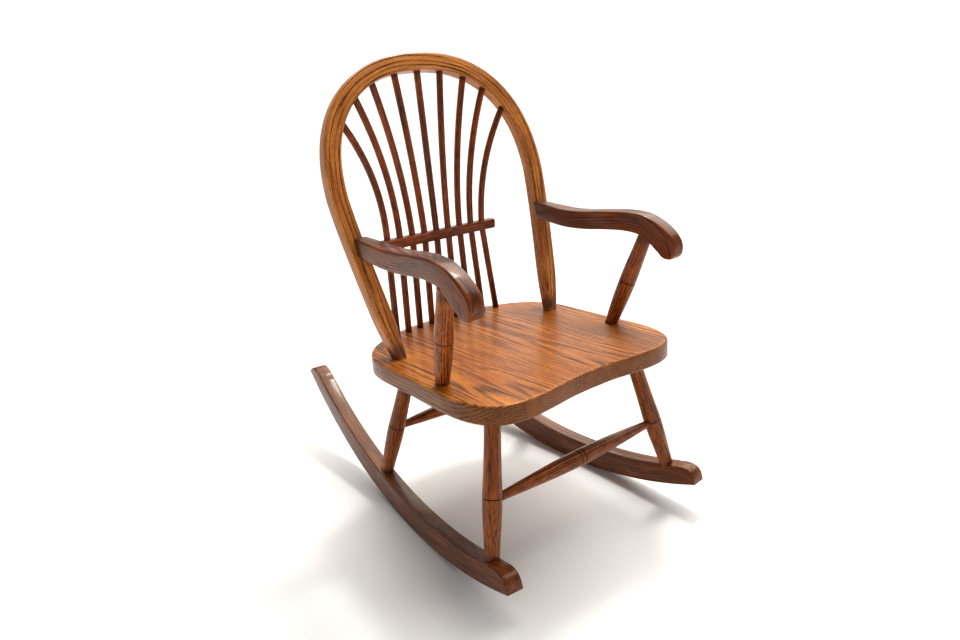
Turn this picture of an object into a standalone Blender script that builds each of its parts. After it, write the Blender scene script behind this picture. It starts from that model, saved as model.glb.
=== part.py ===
"""A child's sheaf-back rocking chair in oak: plank seat, bent bow, nine bent spindles, two runners."""

import math

import bmesh
import bpy
from mathutils import Matrix, Vector

# ---- driving dimensions, metres and degrees --------------------------------------------------
# Pieces are built in a level frame whose origin lies between the arm posts, on the seat's top.
GAP = 0.0003                    # clearance between touching pieces

ATTITUDE = 3.88                 # forward pitch of the level frame when the chair is at rest
CONTACT_Y = -0.06166            # where the runners touch the floor, with the box centred on Y

SEAT_SLOPE = 7.4                # falling to the rear
SEAT_THICK = 0.0258
SEAT_ROUND = 0.0032
# half plan outline from the middle of the front edge round to the middle of the rear edge
SEAT_HALF = (
    (0.000, -0.1105), (0.035, -0.1115), (0.070, -0.1160), (0.105, -0.1190),
    (0.130, -0.1165), (0.1505, -0.1080), (0.1655, -0.0905), (0.1748, -0.0650),
    (0.1780, -0.0350), (0.1773, 0.0000), (0.1757, 0.0450), (0.1756, 0.0900),
    (0.1746, 0.1250), (0.1678, 0.1545), (0.1482, 0.1838), (0.1200, 0.2048),
    (0.0850, 0.2200), (0.0450, 0.2280), (0.000, 0.2305),
)

BOW_FOOT_Y = 0.1134             # where the bow's front plane meets the level of the seat's top
BOW_RAKE = 23.0
BOW_WIDTH, BOW_DEPTH = 0.0248, 0.0225
BOW_FOOT_WIDTH, BOW_FOOT_DEPTH = 0.0148, 0.0190
BOW_ROUND = 0.0042
BOW_HALF = 0.1749               # half spread of the centre line at its widest
BOW_SPRING = 0.216              # height up the rake where the crown begins
BOW_RISE = 0.1756                # crown above the spring line
BOW_POWER = 2.3                 # squareness of the crown
BOW_FOOT_IN = 0.0318            # how far each leg comes in at the seat
BOW_LEG_POWER = 1.25
BOW_END = -0.026                # lower end inside the seat
BOW_LEG_STEPS, BOW_CROWN_STEPS = 10, 15

SPINDLES = 4                    # on each side of the middle one
SPINDLE_R, SPINDLE_TOP_R = 0.0050, 0.0050
SPINDLE_PITCH_SEAT, SPINDLE_PITCH_BAR = 0.0240, 0.0220
SPINDLE_TOPS = (0.0, 0.0396, 0.0791, 0.1107, 0.1392)
SPINDLE_ROW = 0.2135
SPINDLE_ROW_CURVE = 0.0008
SPINDLE_IN_SEAT, SPINDLE_IN_BOW = 0.011, 0.008
SPINDLE_STEPS = 8

BAR_Y, BAR_Z, BAR_LEAN = 0.2282, 0.1090, 6.2
BAR_LENGTH, BAR_HEIGHT, BAR_DEPTH = 0.2235, 0.0155, 0.0145
BAR_ROUND = 0.0034

# arm stations from the bow to the nose: y, z, thickness, centre x, width
ARM_STATIONS = (
    (0.1300, 0.1366, 0.0262, 0.1603, 0.0262), (0.1000, 0.1382, 0.0265, 0.1600, 0.0285),
    (0.0660, 0.1430, 0.0268, 0.1612, 0.0290), (0.0264, 0.1512, 0.0270, 0.1640, 0.0282),
    (-0.0040, 0.1562, 0.0276, 0.1674, 0.0265), (-0.0310, 0.1568, 0.0290, 0.1702, 0.0247),
    (-0.0500, 0.1516, 0.0312, 0.1714, 0.0238), (-0.0650, 0.1440, 0.0330, 0.1720, 0.0232),
    (-0.0750, 0.1360, 0.0325, 0.1722, 0.0228), (-0.0785, 0.1285, 0.0290, 0.1723, 0.0224),
    (-0.0795, 0.1225, 0.0220, 0.1723, 0.0214), (-0.0798, 0.1190, 0.0125, 0.1723, 0.0190),
)
ARM_ROUND = 0.0038
ARM_REAR = (0.1352, 0.0268, 0.1612, 0.0212)     # z, thickness, centre x, width at the bow

POST_FOOT = (0.1550, 0.0, 0.0)
POST_TOP = (0.1738, -0.0345, 0.1440)
POST_IN_SEAT = 0.0154
POST_SOCKET_R = 0.0092
# (share of the length from foot to top, radius), below and above the scored ring
POST_BELOW = ((-0.10, 0.0092), (0.03, 0.0092), (0.12, 0.0103), (0.28, 0.0116), (0.42, 0.0120))
POST_GROOVE = 0.475
POST_MAX_R = 0.0122
POST_ABOVE = ((0.50, 0.0120), (0.64, 0.0116), (0.80, 0.0107), (1.0, 0.0100), (1.07, 0.0100))

FRONT_LEG = ((0.1222, -0.0590, 0.0000), (0.1676, -0.1178, -0.1903))     # top, foot
REAR_LEG = ((0.1098, 0.1379, -0.0300), (0.1436, 0.1674, -0.2267))
# (share of the length from top to foot, radius), above and below the scored ring
LEG_ABOVE = ((-0.012, 0.0112), (0.07, 0.0112), (0.20, 0.0107), (0.34, 0.0109), (0.50, 0.0118))
FRONT_LEG_GROOVE, REAR_LEG_GROOVE = 0.632, 0.598
LEG_BELOW = ((0.78, 0.0119), (0.90, 0.0105), (1.022, 0.0097))
LEG_MAX_R, LEG_SOCKET_R = 0.0126, 0.0112
TENON_R, TENON_LENGTH = 0.0060, 0.015
GROOVE_HALF, GROOVE_DEEP = 0.0009, 0.0009

STRETCHER_END_R, STRETCHER_MID_R = 0.0058, 0.0111
STRETCHER_HALF = ((0.0, 0.0058), (0.05, 0.0058), (0.16, 0.0077), (0.34, 0.0102))
STRETCHER_STOP = 0.0045         # each end stops this far short of the leg's axis
FRONT_STRETCHER, REAR_STRETCHER = 0.650, 0.612          # share of the leg's length from its top

RUNNER_CENTRE = (0.1072, 0.3481)        # of the lower arc, in the level frame
RUNNER_R, RUNNER_ARC = 0.6153, (-23.20, 36.60)
RUNNER_TOP_R, RUNNER_TOP_ARC = 0.6453, (-20.70, 33.30)
RUNNER_TOP_OFFSET = (-0.0103, 0.0670)   # centre of the upper arc from that of the lower
RUNNER_THICK = 0.0238
RUNNER_ROUND = 0.0022
RUNNER_NOSE = 0.036             # rounding of each end's upper corner
RUNNER_END = 0.10               # share of each end's height that stays flat
RUNNER_TOE = 5.0                # each runner comes in towards the rear
RUNNER_X = 0.1549               # at the point of contact
REST_FLAT = 0.060               # length of the flat at the point of contact
FACET = 0.018                   # length of each other flat along the lower arc

SCREW_X, SCREW_V = 0.1632, 0.1446       # across, and up the rake
SCREW_R, SCREW_HEAD_R = 0.0018, 0.0040
SCREW_HEAD = (0.0150, 0.0176)           # depth of the head's two faces behind the bow's front
SCREW_TIP = -0.0190
PLUG_R, PLUG_DEPTHS = 0.0046, (0.0184, 0.0229)

SIDES = 16                      # of every turned piece


# ---- collections and frames ------------------------------------------------------------------
def clear_scene():
    for obj in list(bpy.data.objects):
        bpy.data.objects.remove(obj, do_unlink=True)


def collection(name, helper=False):
    made = bpy.data.collections.new(name)
    bpy.context.scene.collection.children.link(made)
    made.hide_render = helper
    return made


def level_frame(where):
    """The frame of everything above the runners, standing over their point of contact."""
    centre = Matrix.Rotation(math.radians(ATTITUDE), 3, "X") @ Vector((0, *RUNNER_CENTRE))
    frame = bpy.data.objects.new("level_frame", None)
    frame.rotation_euler.x = math.radians(ATTITUDE)
    frame.location = (0, CONTACT_Y - centre.y, RUNNER_R - centre.z)
    where.objects.link(frame)
    return frame


# ---- materials -------------------------------------------------------------------------------
def wood(name, rgb, roughness=0.32):
    mat = bpy.data.materials.new(name)
    mat.use_nodes = True
    shader = mat.node_tree.nodes["Principled BSDF"]
    shader.inputs["Base Color"].default_value = (*rgb, 1.0)
    shader.inputs["Roughness"].default_value = roughness
    mat.diffuse_color = (*rgb, 1.0)
    return mat


def steel(name):
    mat = wood(name, (0.55, 0.55, 0.56), 0.35)
    mat.node_tree.nodes["Principled BSDF"].inputs["Metallic"].default_value = 1.0
    return mat


# ---- objects ---------------------------------------------------------------------------------
def add(name, data, where, mat=None):
    obj = bpy.data.objects.new(name, data)
    where.objects.link(obj)
    if mat:
        data.materials.append(mat)
    if where.hide_render:
        obj.hide_render = True
        obj.display_type = "WIRE"
    return obj


def mesh_of(name, bm):
    """The mesh with smooth shading, sharp above 35 degrees."""
    bmesh.ops.recalc_face_normals(bm, faces=bm.faces)
    mesh = bpy.data.meshes.new(name)
    bm.to_mesh(mesh)
    bm.free()
    for poly in mesh.polygons:
        poly.use_smooth = True
    mesh.set_sharp_from_angle(angle=math.radians(35))
    return mesh


def mesh_of_curve(curve):
    """The curve's surface as one closed mesh, with flat faces left whole."""
    maker = bpy.data.objects.new(curve.name, curve)
    raw = bpy.data.meshes.new_from_object(maker)
    bpy.data.objects.remove(maker)
    bm = bmesh.new()
    bm.from_mesh(raw)
    bmesh.ops.remove_doubles(bm, verts=bm.verts, dist=1e-6)
    bmesh.ops.dissolve_limit(bm, angle_limit=math.radians(0.1), verts=bm.verts, edges=bm.edges)
    return mesh_of(curve.name, bm)


def along(obj, start, end):
    """Stands the object at start with its Z axis towards end."""
    obj.location = start
    obj.rotation_mode = "QUATERNION"
    obj.rotation_quaternion = (end - start).to_track_quat("Z", "Y")
    return obj


def boolean(obj, other, operation):
    mod = obj.modifiers.new(operation.lower(), "BOOLEAN")
    mod.operation = operation
    mod.solver = "EXACT"
    mod.object = other


def cut(obj, *others):
    for other in others:
        boolean(obj, other, "DIFFERENCE")


def bevel(obj, width, segments):
    mod = obj.modifiers.new("rounding", "BEVEL")
    mod.width = width
    mod.segments = segments
    mod.limit_method = "ANGLE"
    mod.angle_limit = math.radians(35)
    mod.loop_slide = False


# ---- basic shapes ----------------------------------------------------------------------------
def rod(name, start, end, radius, where, mat=None, tip_radius=None):
    """A plain round bar from start to end."""
    length = (end - start).length
    bm = bmesh.new()
    bmesh.ops.create_cone(bm, cap_ends=True, segments=SIDES, radius1=radius,
                          radius2=tip_radius or radius, depth=length,
                          matrix=Matrix.Translation((0, 0, length / 2)))
    return along(add(name, mesh_of(name, bm), where, mat), start, end)


def turned(name, start, end, shape, where, mat):
    """A lathe-turned piece. shape holds (share of the length from start, radius)."""
    length = (end - start).length
    outline = [(0.0, shape[-1][0])]
    outline += [(radius, share) for share, radius in reversed(shape)]
    outline.append((0.0, shape[0][0]))
    mesh = bpy.data.meshes.new(name)
    mesh.from_pydata([(r, 0.0, share * length) for r, share in outline],
                     [(i, i + 1) for i in range(len(outline) - 1)], [])
    obj = along(add(name, mesh, where, mat), start, end)
    screw = obj.modifiers.new("lathe", "SCREW")
    screw.steps = SIDES
    screw.render_steps = SIDES
    screw.use_merge_vertices = True
    screw.merge_threshold = 0.00005
    screw.use_smooth_shade = True
    return obj


def tube(name, points, radii):
    """A round bar bent along the points."""
    curve = bpy.data.curves.new(name, "CURVE")
    curve.dimensions = "3D"
    curve.bevel_depth = 1.0
    curve.bevel_resolution = 2
    curve.use_fill_caps = True
    line = curve.splines.new("POLY")
    line.points.add(len(points) - 1)
    for knot, point, radius in zip(line.points, points, radii):
        knot.co = (*point, 1.0)
        knot.radius = radius
    return curve


def plate(name, outline, thick):
    """A flat plate, its outline in X and Y, its faces at plus and minus half its thickness."""
    curve = bpy.data.curves.new(name, "CURVE")
    curve.dimensions = "2D"
    curve.fill_mode = "BOTH"
    curve.extrude = thick / 2
    line = curve.splines.new("POLY")
    line.points.add(len(outline) - 1)
    for knot, (x, y) in zip(line.points, outline):
        knot.co = (x, y, 0.0, 1.0)
    line.use_cyclic_u = True
    return curve


def box_ring(centre, side, up, half_side, half_up, rounding):
    """A rectangle with rounded corners, twelve points."""
    r = min(rounding, half_side * 0.95, half_up * 0.95)
    ring = []
    for k in range(4):
        sx = 1 if k in (0, 3) else -1
        sy = 1 if k in (0, 1) else -1
        for step in (0, 1, 2):
            a = math.radians(90 * k + 45 * step)
            x = sx * (half_side - r) + r * math.cos(a)
            y = sy * (half_up - r) + r * math.sin(a)
            ring.append(centre + side * x + up * y)
    return ring


def loft(name, rings):
    """A closed skin through rings of equal length, with both ends capped."""
    bm = bmesh.new()
    rows = [[bm.verts.new(p) for p in ring] for ring in rings]
    for low, high in zip(rows, rows[1:]):
        for i in range(len(low)):
            j = (i + 1) % len(low)
            bm.faces.new((low[i], low[j], high[j], high[i]))
    bm.faces.new(list(reversed(rows[0])))
    bm.faces.new(rows[-1])
    return mesh_of(name, bm)


def spline(points, steps):
    """Catmull-Rom through tuples of numbers, with the ends kept."""
    out = []
    last = len(points) - 1
    for i in range(last):
        near = (points[max(i - 1, 0)], points[i], points[i + 1], points[min(i + 2, last)])
        for s in range(steps):
            t = s / steps
            out.append(tuple(
                0.5 * (2 * b + (c - a) * t + (2 * a - 5 * b + 4 * c - d) * t * t
                       + (3 * b - a - 3 * c + d) * t ** 3)
                for a, b, c, d in zip(*near)
            ))
    out.append(tuple(points[-1]))
    return out


# ---- seat ------------------------------------------------------------------------------------
def seat_point(x, q, height=0.0):
    """x across, q along the seat from the arm posts, height above the seat's top."""
    a = math.radians(SEAT_SLOPE)
    return Vector((x, q * math.cos(a) + height * math.sin(a), -q * math.sin(a) + height * math.cos(a)))


def make_seat(where):
    half = spline(SEAT_HALF, 2)
    outline = half[:-1] + [(-x, q) for x, q in reversed(half)][:-1]
    seat = add("seat", mesh_of_curve(plate("seat", outline, SEAT_THICK)), where,
               wood("seat_oak", (0.48, 0.21, 0.075), 0.28))
    seat.location = seat_point(0, 0, -SEAT_THICK / 2)
    seat.rotation_euler.x = -math.radians(SEAT_SLOPE)
    bevel(seat, SEAT_ROUND, 3)
    return seat


# ---- bow -------------------------------------------------------------------------------------
def bow_place(u, v, depth):
    """u across, v up the rake, depth behind the front face."""
    a = math.radians(BOW_RAKE)
    return Vector((u, BOW_FOOT_Y + v * math.sin(a) + depth * math.cos(a),
                   v * math.cos(a) - depth * math.sin(a)))


def bow_half_line():
    """(u, v) along the +X half, from the foot up to the crown's top."""
    line = []
    for i in range(BOW_LEG_STEPS):
        v = BOW_END + (BOW_SPRING - BOW_END) * i / BOW_LEG_STEPS
        share = (BOW_SPRING - v) / (BOW_SPRING + 0.011)
        line.append((BOW_HALF - BOW_FOOT_IN * share ** BOW_LEG_POWER, v))
    for i in range(BOW_CROWN_STEPS):
        a = math.pi / 2 * i / BOW_CROWN_STEPS
        line.append((BOW_HALF * math.cos(a) ** (2 / BOW_POWER),
                     BOW_SPRING + BOW_RISE * math.sin(a) ** (2 / BOW_POWER)))
    line.append((0.0, BOW_SPRING + BOW_RISE))
    return line


def bow_mesh(name, extra=0.0, overrun=0.0):
    half = bow_half_line()
    line = half + [(-u, v) for u, v in reversed(half[:-1])]
    last = len(line) - 1
    back = bow_place(0, 0, 1) - bow_place(0, 0, 0)
    rings = []
    for i, (u, v) in enumerate(line):
        before, after = line[max(i - 1, 0)], line[min(i + 1, last)]
        way = Vector((after[0] - before[0], after[1] - before[1])).normalized()
        if i in (0, last):
            v -= overrun
        grow = min(max((v + 0.014) / 0.075, 0.0), 1.0)
        grow = grow * (2 - grow)
        half_w = (BOW_FOOT_WIDTH + (BOW_WIDTH - BOW_FOOT_WIDTH) * grow) / 2 + extra
        half_d = (BOW_FOOT_DEPTH + (BOW_DEPTH - BOW_FOOT_DEPTH) * grow) / 2 + extra
        outward = bow_place(way.y, -way.x, 0) - bow_place(0, 0, 0)
        rings.append(box_ring(bow_place(u, v, BOW_DEPTH / 2), outward, back, half_w, half_d, BOW_ROUND))
    return loft(name, rings)


# ---- spindles and crossbar -------------------------------------------------------------------
def bow_inner_v(u):
    """Height up the rake of the crown's inner side."""
    a, b = BOW_HALF - BOW_WIDTH / 2, BOW_RISE - BOW_WIDTH / 2
    return BOW_SPRING + b * (1 - abs(u / a) ** BOW_POWER) ** (1 / BOW_POWER)


def spindle_line(index, overrun=0.0):
    """Points from inside the seat, through the crossbar, into the bow."""
    rank = abs(index)
    foot = seat_point(index * SPINDLE_PITCH_SEAT, SPINDLE_ROW - SPINDLE_ROW_CURVE * rank ** 2)
    bar = Vector((index * SPINDLE_PITCH_BAR, BAR_Y, BAR_Z))
    u = math.copysign(SPINDLE_TOPS[rank], index)
    top = bow_place(u, bow_inner_v(u), BOW_DEPTH / 2)
    line = [foot - (bar - foot).normalized() * (SPINDLE_IN_SEAT + overrun)]
    line += [foot.lerp(bar, share) for share in (0.0, 0.5, 0.93)]
    line.append(bar + (bar - foot) * 0.05)
    for i in range(2, SPINDLE_STEPS + 1):
        t = i / SPINDLE_STEPS
        p = bar.lerp(top, t)
        p.x = bar.x + (top.x - bar.x) * t ** (1.35 + 0.22 * rank)
        line.append(p)
    line.append(top + (top - line[-2]).normalized() * (SPINDLE_IN_BOW + overrun))
    return line


def spindle_curve(name, index, extra=0.0, overrun=0.0):
    line = spindle_line(index, overrun)
    radii = []
    for p in line:
        fade = min(max((p.z - 0.22) / 0.10, 0.0), 1.0)
        radii.append(SPINDLE_R + (SPINDLE_TOP_R - SPINDLE_R) * fade + extra)
    return tube(name, line, radii)


def make_crossbar(where):
    bm = bmesh.new()
    bmesh.ops.create_cube(bm, size=1.0, matrix=Matrix.Diagonal((BAR_LENGTH, BAR_DEPTH, BAR_HEIGHT, 1)))
    bar = add("crossbar", mesh_of("crossbar", bm), where, wood("crossbar_oak", (0.27, 0.12, 0.05)))
    bar.location = (0, BAR_Y, BAR_Z)
    bar.rotation_euler.x = -math.radians(BAR_LEAN)
    bevel(bar, BAR_ROUND, 3)
    return bar


def make_spindles(parts, cutters, holders):
    for index in range(-SPINDLES, SPINDLES + 1):
        number = index + SPINDLES + 1
        add(f"spindle_{number}", spindle_curve(f"spindle_{number}", index), parts,
            wood(f"spindle_oak_{number}", (0.23, 0.09, 0.035), 0.34))
        name = f"spindle_bore_{number}"
        bore = add(name, mesh_of_curve(spindle_curve(name, index, GAP, GAP)), cutters)
        for holder in holders:
            cut(holder, bore)


# ---- arms ------------------------------------------------------------------------------------
def arm_mesh(name, side, extra=0.0):
    rake = math.radians(BOW_RAKE)
    across = Vector((1, 0, 0))
    z, thick, x, width = ARM_REAR
    start = bow_place(side * x, z / math.cos(rake), extra - GAP)
    rings = [box_ring(start, across, Vector((0, math.sin(rake), math.cos(rake))),
                      width / 2 + extra, thick / 2 + extra, ARM_ROUND)]
    line = spline(ARM_STATIONS, 2)
    last = len(line) - 1
    for i, (y, z, thick, x, width) in enumerate(line):
        before, after = line[max(i - 1, 0)], line[min(i + 1, last)]
        way = Vector((0, after[0] - before[0], after[1] - before[1])).normalized()
        rings.append(box_ring(Vector((side * x, y, z)), across, across.cross(way).normalized() * -1,
                              width / 2 + extra, thick / 2 + extra, ARM_ROUND))
    return loft(name, rings)


# ---- profiles of the turned pieces -----------------------------------------------------------
def grooved(first, groove, second, max_r, length):
    """Joins two profiles with one scored ring between them."""
    w = GROOVE_HALF / length
    ring = ((groove - w, max_r), (groove, max_r - GROOVE_DEEP), (groove + w, max_r))
    return first + ring + second


def stretcher_shape(scored):
    far = tuple((1 - share, radius) for share, radius in reversed(STRETCHER_HALF))
    middle = ((0.5, STRETCHER_MID_R),)
    if scored:
        middle = ()
        for at in (0.488, 0.512):
            middle += ((at - 0.004, STRETCHER_MID_R), (at, STRETCHER_MID_R - GROOVE_DEEP),
                       (at + 0.004, STRETCHER_MID_R))
    return STRETCHER_HALF + middle + far


# ---- runners ---------------------------------------------------------------------------------
def arc_point(centre, radius, angle):
    return centre[0] + radius * math.sin(angle), centre[1] - radius * math.cos(angle)


def end_curve(bottom, corner, inner):
    """From above the sharp lower corner round to the top edge."""
    low, top = Vector(bottom), Vector(corner)
    stop = top + (Vector(inner) - top).normalized() * RUNNER_NOSE
    start = low.lerp(top, RUNNER_END)
    return [tuple(start.lerp(top, i / 6).lerp(top.lerp(stop, i / 6), i / 6)) for i in range(7)]


def under_side(first, final):
    """Corners of the flats that touch the lower arc, the level one in the middle."""
    centre = (0.0, RUNNER_R)
    step = FACET / RUNNER_R
    rest = math.atan(REST_FLAT / 2 / RUNNER_R)
    corners = []
    for sign, end in ((-1, -first), (1, final)):
        side = [(sign * rest, RUNNER_R / math.cos(rest))]
        a = 2 * rest + step / 2
        while a < end - 0.35 * step:
            side.append((sign * a, RUNNER_R / math.cos(step / 2)))
            a += step
        side.append((sign * end, RUNNER_R))
        corners = side[::-1] if sign < 0 else corners + side
    return [arc_point(centre, reach, a) for a, reach in corners]


def runner_outline():
    """(y, z) from the point of contact, anticlockwise."""
    top_centre = (RUNNER_TOP_OFFSET[0], RUNNER_R + RUNNER_TOP_OFFSET[1])
    under = under_side(*(math.radians(a) for a in RUNNER_ARC))
    first, final = (math.radians(a) for a in RUNNER_TOP_ARC)
    over = [arc_point(top_centre, RUNNER_TOP_R, first + (final - first) * i / 24) for i in range(25)]
    nose = end_curve(under[0], over[0], over[1])
    tail = end_curve(under[-1], over[-1], over[-2])
    corners = Vector(over[0]), Vector(over[-1])
    over = [p for p in over if min((Vector(p) - c).length for c in corners) > RUNNER_NOSE]
    return under + tail + over[::-1] + nose[::-1]


def widened(outline, grow):
    """The closed outline moved outwards, corner by corner."""
    out = []
    for i, here in enumerate(outline):
        a, b, c = Vector(outline[i - 1]), Vector(here), Vector(outline[(i + 1) % len(outline)])
        n1 = Vector((b.y - a.y, a.x - b.x)).normalized()
        n2 = Vector((c.y - b.y, b.x - c.x)).normalized()
        n = (n1 + n2).normalized()
        out.append(tuple(b + n * (grow / max(n.dot(n1), 0.5))))
    return out


def make_runner(name, side, where, mat=None, grow=0.0):
    outline = widened(runner_outline(), grow)
    mesh = mesh_of_curve(plate(name, outline, RUNNER_THICK + 2 * grow))
    obj = add(name, mesh, where, mat)
    obj.location = (side * RUNNER_X, CONTACT_Y, 0)
    upright = Matrix(((0, 0, 1), (1, 0, 0), (0, 1, 0)))
    toe = Matrix.Rotation(math.radians(RUNNER_TOE) * side, 3, "Z")
    obj.rotation_euler = (toe @ upright).to_euler()
    return obj


# ---- assembly --------------------------------------------------------------------------------
def mirrored(point, side):
    return Vector((point[0] * side, point[1], point[2]))


def build_arm_and_post(side, tag, parts, cutters, seat):
    arm = add("arm_" + tag, arm_mesh("arm_" + tag, side), parts,
              wood("arm_oak_" + tag, (0.34, 0.15, 0.06), 0.3))
    blank = add("arm_blank_" + tag, arm_mesh("arm_blank_" + tag, side, GAP), cutters)
    foot, top = mirrored(POST_FOOT, side), mirrored(POST_TOP, side)
    way = (top - foot).normalized()
    shape = grooved(POST_BELOW, POST_GROOVE, POST_ABOVE, POST_MAX_R, (top - foot).length)
    post = turned("arm_post_" + tag, foot, top, shape, parts, wood("post_oak_" + tag, (0.30, 0.13, 0.05)))
    low, high = foot.lerp(top, 0.88), top + way * 0.008
    cut(post, blank)
    boolean(post, rod("post_tenon_" + tag, low, high, TENON_R, cutters), "UNION")
    cut(arm, rod("arm_socket_" + tag, low, high + way * GAP, TENON_R + GAP, cutters))
    cut(seat, rod("post_socket_" + tag, foot - way * POST_IN_SEAT, foot + way * 0.02,
                  POST_SOCKET_R + GAP, cutters))
    return arm


def build_leg(which, side, tag, ends, groove, parts, cutters, seat, runner, blank):
    top, foot = (mirrored(point, side) for point in ends)
    way = (foot - top).normalized()
    label = which + "_" + tag
    shape = grooved(LEG_ABOVE, groove, LEG_BELOW, LEG_MAX_R, (foot - top).length)
    leg = turned(f"{which}_leg_{tag}", top, foot, shape, parts, wood("leg_oak_" + label, (0.26, 0.11, 0.045)))
    high, low = foot.lerp(top, 0.12), foot + way * TENON_LENGTH
    cut(leg, blank)
    boolean(leg, rod("leg_tenon_" + label, high, low, TENON_R, cutters), "UNION")
    cut(runner, rod("runner_socket_" + label, high, low + way * GAP, TENON_R + GAP, cutters))
    cut(seat, rod("leg_socket_" + label, top - way * 0.0031, top + way * 0.03, LEG_SOCKET_R + GAP,
                  cutters))
    return leg


def build_screw(side, tag, parts, cutters, bow, arm):
    """A wood screw through the bow into the arm's end, its head under a plug."""
    def at(depth):
        return bow_place(side * SCREW_X, SCREW_V, depth)

    length = SCREW_HEAD[1] - SCREW_TIP
    neck = (SCREW_HEAD[0] - SCREW_TIP) / length
    shape = ((0.0, SCREW_R * 0.4), (0.1, SCREW_R), (neck, SCREW_R), (neck + 0.001, SCREW_HEAD_R),
             (1.0, SCREW_HEAD_R))
    turned("arm_screw_" + tag, at(SCREW_TIP), at(SCREW_HEAD[1]), shape, parts, steel("screw_steel_" + tag))
    rod("screw_plug_" + tag, at(PLUG_DEPTHS[0]), at(PLUG_DEPTHS[1]), PLUG_R, parts,
        wood("plug_oak_" + tag, (0.28, 0.12, 0.05), 0.35), PLUG_R * 0.85)
    wide = rod("counterbore_" + tag, at(SCREW_HEAD[0] - GAP), at(0.03), PLUG_R + GAP, cutters)
    thin = rod("screw_bore_" + tag, at(SCREW_TIP - 2 * GAP), at(SCREW_HEAD[0]), SCREW_R + GAP, cutters)
    cut(bow, wide, thin)
    cut(arm, thin)


def build_stretcher(which, ends, share, legs, parts, cutters):
    """A stretcher between two legs, entering each just below its scored ring."""
    p = Vector(ends[0]).lerp(Vector(ends[1]), share)
    reach = p.x - STRETCHER_STOP
    left, right = Vector((reach, p.y, p.z)), Vector((-reach, p.y, p.z))
    turned(which + "_stretcher", right, left, stretcher_shape(which == "front"), parts,
           wood(which + "_stretcher_oak", (0.27, 0.115, 0.047), 0.33))
    over = Vector((GAP, 0, 0))
    bore = rod(which + "_stretcher_bore", right - over, left + over, STRETCHER_END_R + GAP, cutters)
    for leg in legs:
        cut(leg, bore)


def main():
    clear_scene()
    parts = collection("childs_rocking_chair")
    cutters = collection("cutters", helper=True)
    frame = level_frame(parts)

    seat = make_seat(parts)
    bow = add("bow", bow_mesh("bow"), parts, wood("bow_oak", (0.42, 0.19, 0.07), 0.3))
    cut(seat, add("bow_sockets", bow_mesh("bow_sockets", GAP, GAP), cutters))
    make_spindles(parts, cutters, (seat, make_crossbar(parts), bow))

    pairs = (("front", FRONT_LEG, FRONT_LEG_GROOVE, FRONT_STRETCHER),
             ("rear", REAR_LEG, REAR_LEG_GROOVE, REAR_STRETCHER))
    legs = {"front": [], "rear": []}
    runners = []
    for side, tag in ((1, "left"), (-1, "right")):
        arm = build_arm_and_post(side, tag, parts, cutters, seat)
        build_screw(side, tag, parts, cutters, bow, arm)
        oak = wood("rocker_oak_" + tag, (0.22, 0.09, 0.04), 0.34)
        runner = make_runner("rocker_" + tag, side, parts, oak)
        bevel(runner, RUNNER_ROUND, 2)
        blank = make_runner("runner_blank_" + tag, side, cutters, grow=GAP)
        runners += [runner, blank]
        for which, ends, groove, _ in pairs:
            legs[which].append(build_leg(which, side, tag, ends, groove, parts, cutters, seat,
                                         runner, blank))
    for which, ends, _, share in pairs:
        build_stretcher(which, ends, share, legs[which], parts, cutters)

    for obj in list(parts.objects) + list(cutters.objects):
        if obj is not frame and obj not in runners:
            obj.parent = frame


main()
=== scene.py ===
"""A child's sheaf-back rocking chair in stained oak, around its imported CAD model."""

import math
import random

import bmesh
import bpy
from mathutils import Matrix, Vector


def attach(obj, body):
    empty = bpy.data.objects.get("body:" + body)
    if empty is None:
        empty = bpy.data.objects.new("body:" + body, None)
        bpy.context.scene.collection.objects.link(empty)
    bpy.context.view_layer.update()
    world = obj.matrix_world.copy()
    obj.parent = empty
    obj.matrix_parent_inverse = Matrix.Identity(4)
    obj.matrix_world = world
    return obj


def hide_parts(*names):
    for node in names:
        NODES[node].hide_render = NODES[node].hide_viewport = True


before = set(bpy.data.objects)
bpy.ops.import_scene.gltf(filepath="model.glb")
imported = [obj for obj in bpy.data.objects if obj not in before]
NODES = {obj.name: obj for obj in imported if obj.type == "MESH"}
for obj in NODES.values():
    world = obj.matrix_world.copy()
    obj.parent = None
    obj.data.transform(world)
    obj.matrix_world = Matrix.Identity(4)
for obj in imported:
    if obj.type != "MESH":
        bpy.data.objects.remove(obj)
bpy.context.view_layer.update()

# ---- the chair's own frame -------------------------------------------------------------------
# Pieces above the rockers are laid out in a level frame, pitched forward to stand at rest.
ATTITUDE = math.radians(3.88)
LEVEL = Matrix.Translation((0, -0.14506, 0.26074)) @ Matrix.Rotation(ATTITUDE, 4, "X")
CONTACT_Y = -0.06166            # where the rockers touch the floor
GAP = 0.0003                    # between pieces that touch

# ---- sizes, as in the CAD or a hair inside it ------------------------------------------------
SEAT_SLOPE = math.radians(7.4)
SEAT_THICK, SEAT_ROUND = 0.0258, 0.0032
# Half of the seat's outline, as (across, back along the slope), from the front to the rear.
SEAT_HALF = (
    (0.000, -0.1105), (0.035, -0.1115), (0.070, -0.1160), (0.105, -0.1190),
    (0.130, -0.1165), (0.1505, -0.1080), (0.1655, -0.0905), (0.1748, -0.0650),
    (0.1780, -0.0350), (0.1773, 0.0000), (0.1757, 0.0450), (0.1756, 0.0900),
    (0.1746, 0.1250), (0.1678, 0.1545), (0.1482, 0.1838), (0.1200, 0.2048),
    (0.0850, 0.2200), (0.0450, 0.2280), (0.000, 0.2305),
)

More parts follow.
